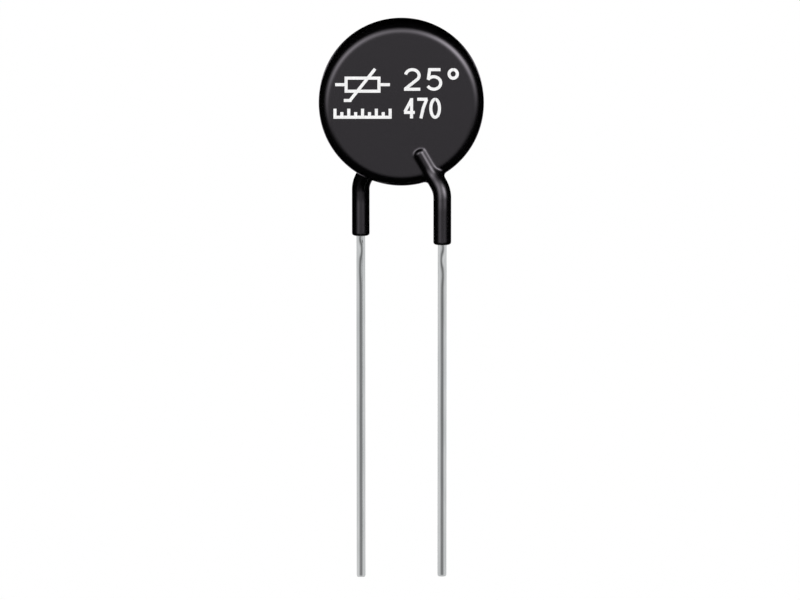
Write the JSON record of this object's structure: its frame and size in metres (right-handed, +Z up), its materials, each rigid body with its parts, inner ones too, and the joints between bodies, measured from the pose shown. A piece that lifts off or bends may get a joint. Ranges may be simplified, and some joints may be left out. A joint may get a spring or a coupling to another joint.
{
  "type": "ntc disc thermistor",
  "caption": "Black coated ceramic disc with tinned wire leads, for a circuit board, that limits inrush current and senses heat.",
  "frame": {"origin": "midway between the two wires on the seating plane, where the coat's sleeves end", "axes": "+Z up towards the disc, against the way the wires point; +X across the disc towards the front wire; the disc's axis along Y, with the printed front face towards -Y"},
  "size_m": [0.0152, 0.0078, 0.0526],
  "materials": {
    "coat": "dipped black resin, satin gloss",
    "ceramic": "sintered, matt grey-black",
    "silver": "fired silver, matt",
    "solder": "tin solder, bright",
    "tinned_wire": "tinned, bright",
    "print": "white ink"
  },
  "bodies": {
    "root": {"coating": "coat", "ceramic_disc": "ceramic", "front_electrode": "silver", "rear_electrode": "silver", "front_solder": "solder", "rear_solder": "solder", "front_lead": "tinned_wire", "rear_lead": "tinned_wire"}
  },
  "joints": []
}
